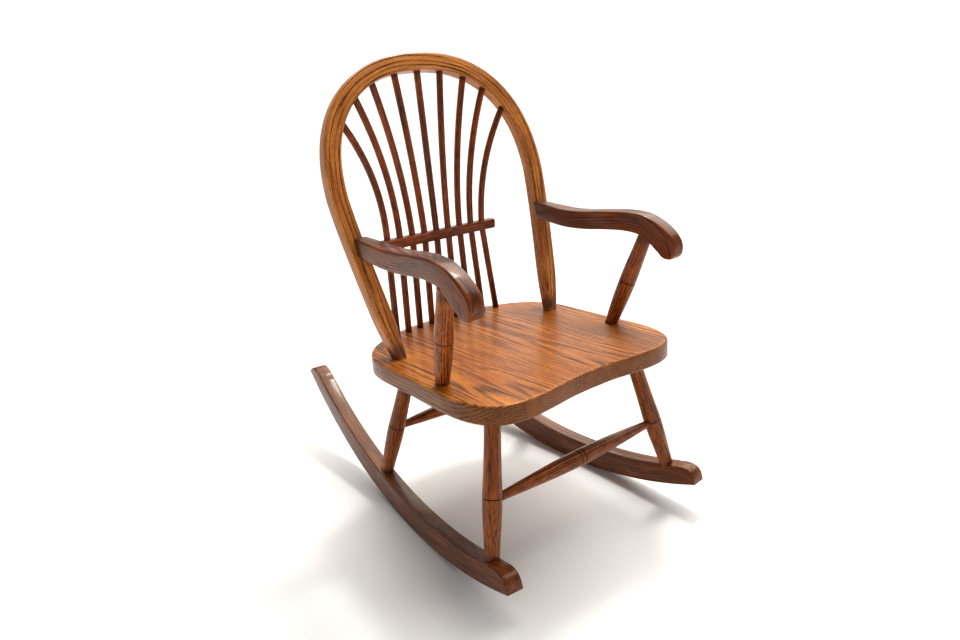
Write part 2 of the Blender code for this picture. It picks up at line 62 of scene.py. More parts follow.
BOW_FOOT_Y, BOW_RAKE = 0.1134, math.radians(23.0)
BOW_WIDTH, BOW_DEPTH = 0.0248, 0.0225
BOW_FOOT_WIDTH, BOW_FOOT_DEPTH = 0.0148, 0.0190
BOW_ROUND = 0.0042
BOW_HALF, BOW_SPRING, BOW_RISE, BOW_POWER = 0.1749, 0.216, 0.1754, 2.3
BOW_FOOT_IN, BOW_LEG_POWER, BOW_END = 0.0318, 1.25, -0.026
BOW_LEG_START = -0.011          # up the rake, where the legs have come in by BOW_FOOT_IN
BOW_SWELL_START, BOW_SWELL_LENGTH = -0.014, 0.075       # where the thin feet grow to full size

SPINDLES_A_SIDE = 4
SPINDLE_R = 0.0050
SPINDLE_PITCH_SEAT, SPINDLE_PITCH_BAR = 0.0240, 0.0220
SPINDLE_TOPS = (0.0, 0.0396, 0.0791, 0.1107, 0.1392)
SPINDLE_ROW, SPINDLE_ROW_CURVE = 0.2135, 0.0008
SPINDLE_IN = 0.008              # how far each end goes into the seat or the bow
SPINDLE_BEND, SPINDLE_BEND_STEP = 1.35, 0.22    # power of the outward curve, and its growth outwards

BAR_Y, BAR_Z, BAR_LEAN = 0.2282, 0.1090, math.radians(6.2)
BAR_LENGTH, BAR_HEIGHT, BAR_DEPTH, BAR_ROUND = 0.2235, 0.0155, 0.0145, 0.0034

# Each station is (y, z, thickness, x, width), from the bow to the scroll.
ARM_STATIONS = (
    (0.1300, 0.1366, 0.0262, 0.1603, 0.0262), (0.1000, 0.1382, 0.0265, 0.1600, 0.0285),
    (0.0660, 0.1430, 0.0268, 0.1612, 0.0290), (0.0264, 0.1512, 0.0270, 0.1640, 0.0282),
    (-0.0040, 0.1562, 0.0276, 0.1674, 0.0265), (-0.0310, 0.1568, 0.0290, 0.1702, 0.0247),
    (-0.0500, 0.1516, 0.0312, 0.1714, 0.0238), (-0.0650, 0.1440, 0.0330, 0.1720, 0.0232),
    (-0.0750, 0.1360, 0.0325, 0.1722, 0.0228), (-0.0785, 0.1285, 0.0290, 0.1723, 0.0224),
    (-0.0795, 0.1225, 0.0220, 0.1723, 0.0214), (-0.0798, 0.1190, 0.0125, 0.1723, 0.0190),
)
ARM_ROUND = 0.0038
ARM_REAR = (0.1352, 0.0268, 0.1612, 0.0212)     # z, thickness, x and width at the bow

# A turned shape is (share of the length, radius).
POST_FOOT, POST_TOP = (0.1550, 0.0, 0.0), (0.1738, -0.0345, 0.1440)
POST_SHAPE = ((-0.06, 0.0092), (0.03, 0.0092), (0.12, 0.0103), (0.28, 0.0116), (0.42, 0.0121),
              (0.475, 0.0122), (0.53, 0.0121), (0.64, 0.0116), (0.80, 0.0107), (1.0, 0.0100))
POST_GROOVES = (0.475,)
FRONT_LEG = ((0.1222, -0.0590, 0.0000), (0.1676, -0.1178, -0.1903))
REAR_LEG = ((0.1098, 0.1379, -0.0300), (0.1436, 0.1674, -0.2267))
LEG_SHAPE = ((0.0, 0.0112), (0.07, 0.0112), (0.20, 0.0107), (0.34, 0.0109), (0.50, 0.0118),
             (0.60, 0.0126), (0.68, 0.0126), (0.78, 0.0119), (0.90, 0.0105), (1.022, 0.0097))
FRONT_GROOVE, REAR_GROOVE = 0.632, 0.598
GROOVE_HALF, GROOVE_DEEP = 0.0009, 0.0009
STRETCHER_SHAPE = ((0.0, 0.0058), (0.05, 0.0058), (0.16, 0.0077), (0.34, 0.0102), (0.5, 0.0111),
                   (0.66, 0.0102), (0.84, 0.0077), (0.95, 0.0058), (1.0, 0.0058))
STRETCHER_STOP = 0.0045         # from a leg's axis to the stretcher's end
FRONT_STRETCHER, REAR_STRETCHER = 0.650, 0.612  # shares of the leg's length
STRETCHER_GROOVES = (0.488, 0.512)

RUNNER_R, RUNNER_ARC = 0.6153, (-23.14, 36.46)
RUNNER_TOP_R, RUNNER_TOP_ARC = 0.6453, (-20.70, 33.30)
RUNNER_TOP_OFFSET = (-0.0103, 0.0670)
RUNNER_THICK, RUNNER_ROUND = 0.0234, 0.0022
RUNNER_NOSE = 0.036             # how far a rounded end reaches along the upper edge
RUNNER_END = 0.10               # share of the end's height below the rounding
RUNNER_TOE, RUNNER_X = math.radians(5.0), 0.1549
RUNNER_STEPS = 110

# ---- fineness of the meshes ------------------------------------------------------------------
SHARP_ANGLE = math.radians(48)
SPLINE_STEPS = 6
SEAT_SPLINE_STEPS, SEAT_EDGE_STEPS = 8, 6
TURNED_SIDES, SPINDLE_SIDES = 36, 24

# ---- darker stain at joints and in scored rings, and painted shade on the seat's rim ---------
# The seat's rim and underside: darker stain on the end grain at front and rear, and painted shade on the
# long-grain sides and the underside.
SEAT_RIM_STAIN_AND_SHADE = 0.70
ARM_SHADE, ARM_SHADE_REACH = 0.8, 0.008
BOW_SHADE_V, BOW_SHADE_REACH = -0.004, 0.016
SPINDLE_SHADE_REACH, BAR_SHADE_REACH = 0.007, 0.011
SHADE_STRENGTH = 0.85
# Each is (share of the length, reach in metres).
POST_SHADES = ((0.0, 0.006), (0.93, 0.006))
FRONT_LEG_SHADES = ((0.10, 0.008), (1.0, 0.006))
REAR_LEG_SHADES = ((0.06, 0.008), (1.0, 0.006))
STRETCHER_SHADES = ((0.026, 0.004), (0.974, 0.004))

# ---- grain of the oak, as waves per metre (across, along) ------------------------------------
WARP_WAVES, FINE_WAVES = (17.0, 4.0), (150.0, 9.0)
COARSE_WAVES, CLOUD_WAVES, SPECK_WAVES = (240.0, 9.0), (70.0, 13.0), (900.0, 210.0)
STREAK_WAVES_ACROSS = 760.0
RING_LEAN = 0.010               # the rings' drift along the piece, per metre
SPECK_DEPTH = 0.34
PORE_BUMP, PORE_DEPTH = 0.4, 0.0003

# ---- the seat's glued boards -----------------------------------------------------------------
BOARD_WIDTH, BOARD_PHASE = 0.088, 20.37         # the phase places the glue lines
BOARD_PITH = 0.055              # from the seat's top down to the pith
BOARD_SCATTER, BOARD_SHIFT = 1.1, 3.7           # of the timber across, in widths, and along, in metres
BOARD_TINT, SEAM_SHADE = 0.28, 0.35

# ---- varnish ---------------------------------------------------------------------------------
SPECULAR_LEVEL, SPECULAR_TINT = 0.22, (1.0, 0.74, 0.50, 1.0)
COAT_WEIGHT, COAT_ROUGHNESS = 0.13, 0.10

# ---- stage, camera and light -----------------------------------------------------------------
FLOOR_REACH, FLOOR_GREY, FLOOR_ROUGHNESS = 80.0, 0.84, 0.9
CAMERA_PLACE, CAMERA_LENS, CAMERA_SENSOR = (-0.62607, -0.83974, 0.6567), 27.606, 36.0
CAMERA_AZIMUTH, CAMERA_ELEVATION = math.radians(-37.556), math.radians(20.535)
CAMERA_ROLL = math.radians(-2.172)
WORLD_FADE = ((0.07, 1.05), (0.27, 0.22))       # (height of the direction, brightness)
SUN_POWER, SUN_COLOUR = 4.6, (1.0, 0.965, 0.90)
SUN_ANGLE, SUN_FROM = math.radians(70), (0.50, 0.25, 0.82)
# Each lamp is (name, place, target, size, power, colour).
LAMPS = (
    ("top", (0.80, 0.40, 2.2), (0, 0, 0.3), (0.30, 0.30), 22, (1.0, 1.0, 1.0)),
    ("low", (1.5, 2.0, 1.05), (0, 0, 0.3), (1.0, 0.6), 1.5, (1.0, 0.86, 0.70)),
    ("left", (-1.5, 1.2, 0.8), (0, 0, 0.35), (0.9, 0.9), 3, (1.0, 1.0, 1.0)),
)

DRAW = random.Random(7)


# ---- lines and profiles ----------------------------------------------------------------------
def spline(points, steps):
    """Catmull-Rom through tuples of numbers, with the ends kept."""
    out = []
    last = len(points) - 1
    for i in range(last):
        near = (points[max(i - 1, 0)], points[i], points[i + 1], points[min(i + 2, last)])
        for s in range(steps):
            t = s / steps
            out.append(tuple(
                0.5 * (2 * b + (c - a) * t + (2 * a - 5 * b + 4 * c - d) * t * t
                       + (3 * b - a - 3 * c + d) * t ** 3)
                for a, b, c, d in zip(*near)))
    out.append(tuple(points[-1]))
    return out


def circle(radius, count):
    return [(radius * math.cos(2 * math.pi * i / count), radius * math.sin(2 * math.pi * i / count))
            for i in range(count)]


def rounded_box(width, height, rounding, steps=5):
    """A rectangle with rounded corners, its flats carried by points close to the corners."""
    r = min(rounding, width * 0.48, height * 0.48)
    out = []
    for k in range(4):
        sx = 1 if k in (0, 3) else -1
        sy = 1 if k in (0, 1) else -1
        for step in range(steps + 1):
            a = math.pi / 2 * (k + step / steps)
            out.append((sx * (width / 2 - r) + r * math.cos(a), sy * (height / 2 - r) + r * math.sin(a)))
    return out


# ---- meshes that carry their own grain -------------------------------------------------------
def skin(bm, rows):
    """Faces between rings of points, and one across each end."""
    for low, high in zip(rows, rows[1:]):
        for i in range(len(low)):
            j = (i + 1) % len(low)
            bm.faces.new((low[i], low[j], high[j], high[i]))
    bm.faces.new(rows[0][::-1])
    bm.faces.new(rows[-1])


def grain_layers(bm):
    # The shade layer holds darker stain at joints, and on the seat's rim darker stain with painted
    # shade.
    return bm.verts.layers.float_vector.new("grain"), bm.verts.layers.float.new("shade")


def sweep(name, stations, world, pith=(0.03, 0.06)):
    """Skins profiles along a line. A station is (centre, side, up, along, profile, shade).

    Every point keeps its place in the timber, as (across, through, along), in "grain", and how dark
    the stain has gathered there in "shade". The pith runs beside the line, at a distance and on a
    side that are drawn for each piece.
    """
    turn = DRAW.uniform(0, 2 * math.pi)
    reach = DRAW.uniform(*pith)
    shift = DRAW.uniform(0, 40)
    co, si = math.cos(turn), math.sin(turn)
    bm = bmesh.new()
    grain, shade = grain_layers(bm)
    rows = []
    for centre, side, up, along, profile, dark in stations:
        row = []
        for a, b in profile:
            v = bm.verts.new(world @ (centre + side * a + up * b))
            v[grain] = (a * co - b * si + reach, a * si + b * co, along + shift)
            v[shade] = dark
            row.append(v)
        rows.append(row)
    skin(bm, rows)
    return mesh_object(name, bm)


def mesh_object(name, bm):
    bmesh.ops.recalc_face_normals(bm, faces=bm.faces)
    mesh = bpy.data.meshes.new(name)
    bm.to_mesh(mesh)
    bm.free()
    for poly in mesh.polygons:
        poly.use_smooth = True
    mesh.set_sharp_from_angle(angle=SHARP_ANGLE)
    obj = bpy.data.objects.new(name, mesh)
    bpy.context.scene.collection.objects.link(obj)
    return obj


def stand_for(obj, node, material):
    """Shows obj instead of the CAD piece of that node."""
    obj.data.materials.append(material)
    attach(obj, "root")
    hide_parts(node)


def frames_along(points, hint):
    """(point, side, up, distance) along a line of points, side square to the hint."""
    out = []
    distance = 0.0
    last = len(points) - 1
    for i, p in enumerate(points):
        way = (points[min(i + 1, last)] - points[max(i - 1, 0)]).normalized()
        side = hint.cross(way).normalized()
        if i:
            distance += (p - points[i - 1]).length
        out.append((p, side, way.cross(side).normalized(), distance))
    return out


def near_end(distance, length, reach):
    """1 at either end of a length, fading to 0 a short way in."""
    gap = min(distance, length - distance)
    return max(0.0, 1.0 - max(gap, 0.0) / reach)


# ---- pieces ----------------------------------------------------------------------------------
def seat_point(x, q, height=0.0):
    """A point by its place across the seat, back along its slope and above its top."""
    a = SEAT_SLOPE
    return Vector((x, q * math.cos(a) + height * math.sin(a), -q * math.sin(a) + height * math.cos(a)))


def inset(outline, amount):
    """The closed outline moved inwards, with its corners mitred."""
    out = []
    for i, here in enumerate(outline):
        a, b, c = Vector(outline[i - 1]), Vector(here), Vector(outline[(i + 1) % len(outline)])
        n1 = Vector((a.y - b.y, b.x - a.x)).normalized()
        n2 = Vector((b.y - c.y, c.x - b.x)).normalized()
        n = (n1 + n2).normalized()
        out.append(tuple(b + n * (amount / max(n.dot(n1), 0.4))))
    return out


def seat_levels():
    """(inset, height) of each ring of points round the plank's edge, from below to above."""
    below, above = [], []
    for i in range(SEAT_EDGE_STEPS + 1):
        a = math.pi / 2 * i / SEAT_EDGE_STEPS
        shrink, rise = SEAT_ROUND * (1 - math.sin(a)), SEAT_ROUND * (1 - math.cos(a))
        below.append((shrink, -SEAT_THICK + rise))
        above.append((shrink, -rise))
    flat = SEAT_ROUND + 0.001
    return [(flat, -SEAT_THICK)] + below + above[::-1] + [(flat, 0.0)]


def make_seat(material):
    half = spline(SEAT_HALF, SEAT_SPLINE_STEPS)
    outline = half[:-1] + [(-x, q) for x, q in reversed(half)][:-1]
    bm = bmesh.new()
    grain, shade = grain_layers(bm)
    rows = []
    for shrink, height in seat_levels():
        row = []
        for x, q in inset(outline, shrink):
            v = bm.verts.new(LEVEL @ seat_point(x, q, height))
            v[grain] = (x, height, q)
            # Below the top's rounding: darker stain on the end grain, and painted shade on the
            # long-grain sides and the underside.
            v[shade] = SEAT_RIM_STAIN_AND_SHADE if height < -SEAT_ROUND * 0.7 else 0.0
            row.append(v)
        rows.append(row)
    skin(bm, rows)
    stand_for(mesh_object("seat_plank", bm), "seat", material)


def bow_place(u, v, depth):
    """A point by its place across the bow, up its rake and behind its front."""
    a = BOW_RAKE
    return Vector((u, BOW_FOOT_Y + v * math.sin(a) + depth * math.cos(a),
                   v * math.cos(a) - depth * math.sin(a)))


def bow_line(legs=26, crown=52):
    """The bow's middle as (across, up the rake), from the foot at +X over the crown to the other."""
    half = []
    for i in range(legs):
        v = BOW_END + (BOW_SPRING - BOW_END) * i / legs
        share = (BOW_SPRING - v) / (BOW_SPRING - BOW_LEG_START)
        half.append((BOW_HALF - BOW_FOOT_IN * share ** BOW_LEG_POWER, v))
    for i in range(crown):
        a = math.pi / 2 * i / crown
        half.append((BOW_HALF * math.cos(a) ** (2 / BOW_POWER),
                     BOW_SPRING + BOW_RISE * math.sin(a) ** (2 / BOW_POWER)))
    half.append((0.0, BOW_SPRING + BOW_RISE))
    return half + [(-u, v) for u, v in reversed(half[:-1])]


def make_bow(material):
    line = bow_line()
    last = len(line) - 1
    back = bow_place(0, 0, 1) - bow_place(0, 0, 0)
    stations = []
    distance = 0.0
    for i, (u, v) in enumerate(line):
        before, after = line[max(i - 1, 0)], line[min(i + 1, last)]
        way = Vector((after[0] - before[0], after[1] - before[1])).normalized()
        if i:
            distance += math.dist(line[i], line[i - 1])
        grow = min(max((v - BOW_SWELL_START) / BOW_SWELL_LENGTH, 0.0), 1.0)
        grow = grow * (2 - grow)
        width = BOW_FOOT_WIDTH + (BOW_WIDTH - BOW_FOOT_WIDTH) * grow
        depth = BOW_FOOT_DEPTH + (BOW_DEPTH - BOW_FOOT_DEPTH) * grow
        outward = bow_place(way.y, -way.x, 0) - bow_place(0, 0, 0)
        dark = max(0.0, 1.0 - abs(v - BOW_SHADE_V) / BOW_SHADE_REACH)
        stations.append((bow_place(u, v, BOW_DEPTH / 2), outward, back, distance,
                         rounded_box(width, depth, BOW_ROUND), dark))
    stand_for(sweep("bent_bow", stations, LEVEL), "bow", material)


def bow_inner_v(u):
    """How far up the rake the crown's inner edge lies."""
    a, b = BOW_HALF - BOW_WIDTH / 2, BOW_RISE - BOW_WIDTH / 2
    return BOW_SPRING + b * (1 - abs(u / a) ** BOW_POWER) ** (1 / BOW_POWER)


def spindle_points(index, low_steps=12, high_steps=40):
    """Straight from the seat to the crossbar, then bent out to the bow."""
    rank = abs(index)
    foot = seat_point(index * SPINDLE_PITCH_SEAT, SPINDLE_ROW - SPINDLE_ROW_CURVE * rank ** 2)
    bar = Vector((index * SPINDLE_PITCH_BAR, BAR_Y, BAR_Z))
    u = math.copysign(SPINDLE_TOPS[rank], index)
    top = bow_place(u, bow_inner_v(u), BOW_DEPTH / 2)
    line = [foot - (bar - foot).normalized() * SPINDLE_IN]
    line += [foot.lerp(bar, i / low_steps) for i in range(low_steps)]
    for i in range(high_steps + 1):
        t = i / high_steps
        p = bar.lerp(top, t)
        p.x = bar.x + (top.x - bar.x) * t ** (SPINDLE_BEND + SPINDLE_BEND_STEP * rank)
        line.append(p)
    line.append(top + (top - line[-2]).normalized() * SPINDLE_IN)
    return line


def make_spindles(material):
    for index in range(-SPINDLES_A_SIDE, SPINDLES_A_SIDE + 1):
        number = index + SPINDLES_A_SIDE + 1
        stations = []
        trail = frames_along(spindle_points(index), Vector((0, 1, 0)))
        length = trail[-1][3]
        for point, side, up, distance in trail:
            dark = near_end(distance - SPINDLE_IN, length - 2 * SPINDLE_IN, SPINDLE_SHADE_REACH)
            dark = max(dark, 1.0 - abs(point.z - BAR_Z) / BAR_SHADE_REACH, 0.0)
            stations.append((point, side, up, distance, circle(SPINDLE_R, SPINDLE_SIDES), dark))
        stand_for(sweep(f"bent_spindle_{number}", stations, LEVEL), f"spindle_{number}",
                  material)


def make_crossbar(material):
    up = Vector((0, math.sin(BAR_LEAN), math.cos(BAR_LEAN)))
    back = Vector((0, math.cos(BAR_LEAN), -math.sin(BAR_LEAN)))
    half, r, steps = BAR_LENGTH / 2, BAR_ROUND, 5
    marks = []
    for i in range(steps, -1, -1):
        a = math.pi / 2 * i / steps
        marks.append((half - r + r * math.sin(a), r * (1 - math.cos(a))))
    stations = []
    for x, shrink in [(-x, shrink) for x, shrink in marks] + marks[::-1]:
        profile = rounded_box(BAR_DEPTH - 2 * shrink, BAR_HEIGHT - 2 * shrink, max(r - shrink, 0.0004))
        stations.append((Vector((x, BAR_Y, BAR_Z)), back, up, x, profile, 0.0))
    stand_for(sweep("spindle_bar", stations, LEVEL), "crossbar", material)


def make_arm(side, tag, material):
    across = Vector((1, 0, 0))
    rake = Vector((0, math.sin(BOW_RAKE), math.cos(BOW_RAKE)))
    z, thick, x, width = ARM_REAR
    start = bow_place(side * x, z / math.cos(BOW_RAKE), -GAP)
    stations = [(start, across, rake, 0.0, rounded_box(width, thick, ARM_ROUND), ARM_SHADE)]
    line = spline(ARM_STATIONS, SPLINE_STEPS)
    last = len(line) - 1
    distance = (Vector((start.y, start.z)) - Vector(line[0][:2])).length
    for i, (y, z, thick, x, width) in enumerate(line):
        before, after = line[max(i - 1, 0)], line[min(i + 1, last)]
        if i:
            distance += math.dist(line[i][:2], line[i - 1][:2])
        way = Vector((0, after[0] - before[0], after[1] - before[1])).normalized()
        dark = max(0.0, ARM_SHADE - distance / ARM_SHADE_REACH)
        stations.append((Vector((side * x, y, z)), across, way.cross(across).normalized(), distance,
                         rounded_box(width, thick, ARM_ROUND), dark))
    stand_for(sweep("scrolled_arm_" + tag, stations, LEVEL, pith=(0.02, 0.045)), "arm_" + tag,
              material)


def radius_at(marks, t):
    for (t0, r0), (t1, r1) in zip(marks, marks[1:]):
        if t0 <= t <= t1:
            return r0 + (r1 - r0) * (t - t0) / max(t1 - t0, 1e-9)
    return marks[-1][1]


def scored(shape, grooves, half):
    """(share, radius, shade) along a turned shape; half is a scored ring's half width as a share."""
    marks = spline(shape, SPLINE_STEPS)
    rows = [(t, r, 0.0) for t, r in marks if all(abs(t - g) > 1.9 * half for g in grooves)]
    for g in grooves:
        r = radius_at(marks, g)
        for off, deep, dark in ((1.5, 0.0, 0.0), (1.0, 0.0, 0.35), (0.55, 0.75, 1.0)):
            rows += [(g - off * half, r - GROOVE_DEEP * deep, dark),
                     (g + off * half, r - GROOVE_DEEP * deep, dark)]
        rows.append((g, r - GROOVE_DEEP, 1.0))
    return sorted(rows)


def turned(node, start, end, shape, grooves, shades, material):
    """A lathe-turned piece with scored rings."""
    start, end = Vector(start), Vector(end)
    length = (end - start).length
    way = (end - start).normalized()
    side = Vector((0, 1, 0)).cross(way).normalized()
    up = way.cross(side).normalized()
    stations = []
    for t, r, dark in scored(shape, grooves, GROOVE_HALF / length):
        for at, reach in shades:
            dark = max(dark, 1.0 - abs(t - at) * length / reach)
        stations.append((start.lerp(end, t), side, up, t * length, circle(r, TURNED_SIDES), dark))
    name = "turned_" + node.removeprefix("arm_")
    stand_for(sweep(name, stations, LEVEL), node, material)


def arc_point(centre, radius, angle):
    """A point on an arc seen from the side, with the angle taken from straight down."""
    return Vector((centre[0] + radius * math.sin(angle), centre[1] - radius * math.cos(angle)))


def end_curve(low, top, inner, steps=16):
    """The rounded end of a rocker, from its end face into its upper edge."""
    stop = top + (inner - top).normalized() * RUNNER_NOSE
    start = low.lerp(top, RUNNER_END)
    return [start.lerp(top, i / steps).lerp(top.lerp(stop, i / steps), i / steps)
            for i in range(steps + 1)]


def runner_top(low_centre, first, final):
    """The upper edge from nose to tail, with both rounded ends."""
    centre = (RUNNER_TOP_OFFSET[0], RUNNER_R + RUNNER_TOP_OFFSET[1])
    first_top, final_top = (math.radians(a) for a in RUNNER_TOP_ARC)
    over = [arc_point(centre, RUNNER_TOP_R, first_top + (final_top - first_top) * i / RUNNER_STEPS)
            for i in range(RUNNER_STEPS + 1)]
    nose = end_curve(arc_point(low_centre, RUNNER_R, first), over[0], over[1])
    tail = end_curve(arc_point(low_centre, RUNNER_R, final), over[-1], over[-2])
    clear = RUNNER_NOSE + 0.002
    middle = [p for p in over if (p - over[0]).length > clear and (p - over[-1]).length > clear]
    return nose + middle + tail[::-1]


def make_runner(side, tag, material):
    low_centre = (0.0, RUNNER_R)
    first, final = (math.radians(a) for a in RUNNER_ARC)
    top_line = runner_top(low_centre, first, final)
    lengths = [0.0]
    for a, b in zip(top_line, top_line[1:]):
        lengths.append(lengths[-1] + (b - a).length)
    toe = Matrix.Rotation(RUNNER_TOE * side, 4, "Z")
    world = Matrix.Translation((side * RUNNER_X, CONTACT_Y, 0)) @ toe
    stations = []
    for p, run in zip(top_line, lengths):
        angle = first + (final - first) * run / lengths[-1]
        q = arc_point(low_centre, RUNNER_R, angle)
        up = Vector((0, *(p - q).normalized()))
        centre = Vector((0, *((p + q) / 2)))
        stations.append((centre, Vector((1, 0, 0)), up, RUNNER_R * angle,
                         rounded_box(RUNNER_THICK, (p - q).length, RUNNER_ROUND, 4), 0.0))
    stand_for(sweep("bent_rocker_" + tag, stations, world, pith=(0.02, 0.05)), "rocker_" + tag,
              material)


# ---- materials -------------------------------------------------------------------------------
class Graph:
    """Short names for the shader nodes that the timber needs."""

    def __init__(self, name):
        self.material = bpy.data.materials.new(name)
        self.material.use_nodes = True
        self.tree = self.material.node_tree
        self.shader = self.tree.nodes["Principled BSDF"]

    def put(self, socket, value):
        if isinstance(value, bpy.types.NodeSocket):
            self.tree.links.new(value, socket)
        else:
            socket.default_value = value

    def math(self, operation, a, b=0.0, clamp=False):
        node = self.tree.nodes.new("ShaderNodeMath")
        node.operation = operation
        node.use_clamp = clamp
        self.put(node.inputs[0], a)
        self.put(node.inputs[1], b)
        return node.outputs[0]

    def split(self, vector):
        node = self.tree.nodes.new("ShaderNodeSeparateXYZ")
        self.put(node.inputs[0], vector)
        return node.outputs

    def noise(self, grain, waves, detail=2.0, roughness=0.5):
        """Noise with waves as (across, along) per metre of timber."""
        across, along = waves
        stretch = self.tree.nodes.new("ShaderNodeVectorMath")
        stretch.operation = "MULTIPLY"
        self.put(stretch.inputs[0], grain)
        stretch.inputs[1].default_value = (across, across, along)
        node = self.tree.nodes.new("ShaderNodeTexNoise")
        node.inputs["Scale"].default_value = 1.0
        node.inputs["Detail"].default_value = detail
        node.inputs["Roughness"].default_value = roughness
        self.put(node.inputs["Vector"], stretch.outputs[0])
        return node.outputs["Fac"]

    def ramp(self, value, *stops):
        """stops are (position, value), each a grey level."""
        node = self.tree.nodes.new("ShaderNodeValToRGB")
        elements = node.color_ramp.elements
        while len(elements) < len(stops):
            elements.new(0.5)
        for element, (position, level) in zip(elements, stops):
            element.position = position
            element.color = (level, level, level, 1.0)
        self.put(node.inputs[0], value)
        return node.outputs[0]

    def mix(self, factor, a, b):
        node = self.tree.nodes.new("ShaderNodeMix")
        node.data_type = "RGBA"
        self.put(node.inputs[0], factor)
        self.put(node.inputs[6], a)
        self.put(node.inputs[7], b)
        return node.outputs[2]

    def attribute(self, name, output):
        node = self.tree.nodes.new("ShaderNodeAttribute")
        node.attribute_name = name
        return node.outputs[output]


def rgb(red, green, blue):
    """A display colour, 0 to 255, as a linear one."""
    return tuple(((c / 255 + 0.055) / 1.055) ** 2.4 if c > 10 else c / 255 / 12.92
                 for c in (red, green, blue)) + (1.0,)


# Dark stain gathered at joints and glue lines, also the colour of the seat rim's painted shade.
DARK_STAIN_AND_SHADE = rgb(38, 21, 15)


def board_grain(g, grain):
    """Timber of its own for each glued board, with the board's number and 1 on the glue lines."""
    x, height, q = g.split(grain)
    place = g.math("ADD", g.math("DIVIDE", x, BOARD_WIDTH), BOARD_PHASE)
    index = g.math("FLOOR", place)
    within = g.math("SUBTRACT", g.math("FRACT", place), 0.5)
    scatter = g.math("SUBTRACT", g.math("FRACT", g.math("MULTIPLY", index, 0.618)), 0.5)
    joined = g.tree.nodes.new("ShaderNodeCombineXYZ")
    g.put(joined.inputs[0], g.math("ADD", g.math("MULTIPLY", within, BOARD_WIDTH),
                                   g.math("MULTIPLY", scatter, BOARD_WIDTH * BOARD_SCATTER)))
    g.put(joined.inputs[1], g.math("ADD", height, BOARD_PITH))
    g.put(joined.inputs[2], g.math("ADD", q, g.math("MULTIPLY", index, BOARD_SHIFT)))
    inside = g.ramp(g.math("ABSOLUTE", within), (0.0, 1.0), (0.492, 1.0), (0.4985, 0.0))
    return joined.outputs[0], index, g.math("SUBTRACT", 1.0, inside)


def early_wood(g, grain, spacing, wander):
    """Near 1 in the open wood that starts each year ring, near 0 in the dense wood after it."""
    a, b, along = g.split(grain)
    radius = g.math("SQRT", g.math("ADD", g.math("MULTIPLY", a, a), g.math("MULTIPLY", b, b)))
    warp = g.math("SUBTRACT", g.noise(grain, WARP_WAVES, 2.0, 0.45), 0.5)
    fine = g.math("SUBTRACT", g.noise(grain, FINE_WAVES), 0.5)
    radius = g.math("ADD", radius, g.math("MULTIPLY", warp, wander))
    radius = g.math("ADD", radius, g.math("MULTIPLY", fine, spacing * 0.5))
    radius = g.math("ADD", radius, g.math("MULTIPLY", along, RING_LEAN))
    year = g.math("FRACT", g.math("DIVIDE", radius, spacing))
    return g.ramp(year, (0.0, 0.45), (0.10, 1.0), (0.30, 0.70), (0.46, 0.12), (0.92, 0.0), (1.0, 0.4))


def open_pores(g, grain, early, fleck):
    """Long dark pores, mostly in the early wood."""
    streak = g.noise(grain, (STREAK_WAVES_ACROSS, fleck), 3.0, 0.6)
    pore = g.ramp(streak, (0.0, 1.0), (0.42, 1.0), (0.53, 0.0))
    return g.math("MULTIPLY", pore, g.math("ADD", g.math("MULTIPLY", early, 0.65), 0.35), True)


def varnish(g, pore, line, roughness):
    """A satin coat that sinks into the pores and rings."""
    g.put(g.shader.inputs["Roughness"], g.math("ADD", g.math("MULTIPLY", pore, 0.22), roughness))
    g.shader.inputs["Specular IOR Level"].default_value = SPECULAR_LEVEL
    g.shader.inputs["Specular Tint"].default_value = SPECULAR_TINT
    g.shader.inputs["Coat Weight"].default_value = COAT_WEIGHT
    g.shader.inputs["Coat Roughness"].default_value = COAT_ROUGHNESS
    bump = g.tree.nodes.new("ShaderNodeBump")
    bump.inputs["Strength"].default_value = PORE_BUMP
    bump.inputs["Distance"].default_value = PORE_DEPTH
    relief = g.math("ADD", pore, g.math("MULTIPLY", line, 0.4))
    g.put(bump.inputs["Height"], g.math("MULTIPLY", relief, -1.0))
    g.put(g.shader.inputs["Normal"], bump.outputs[0])


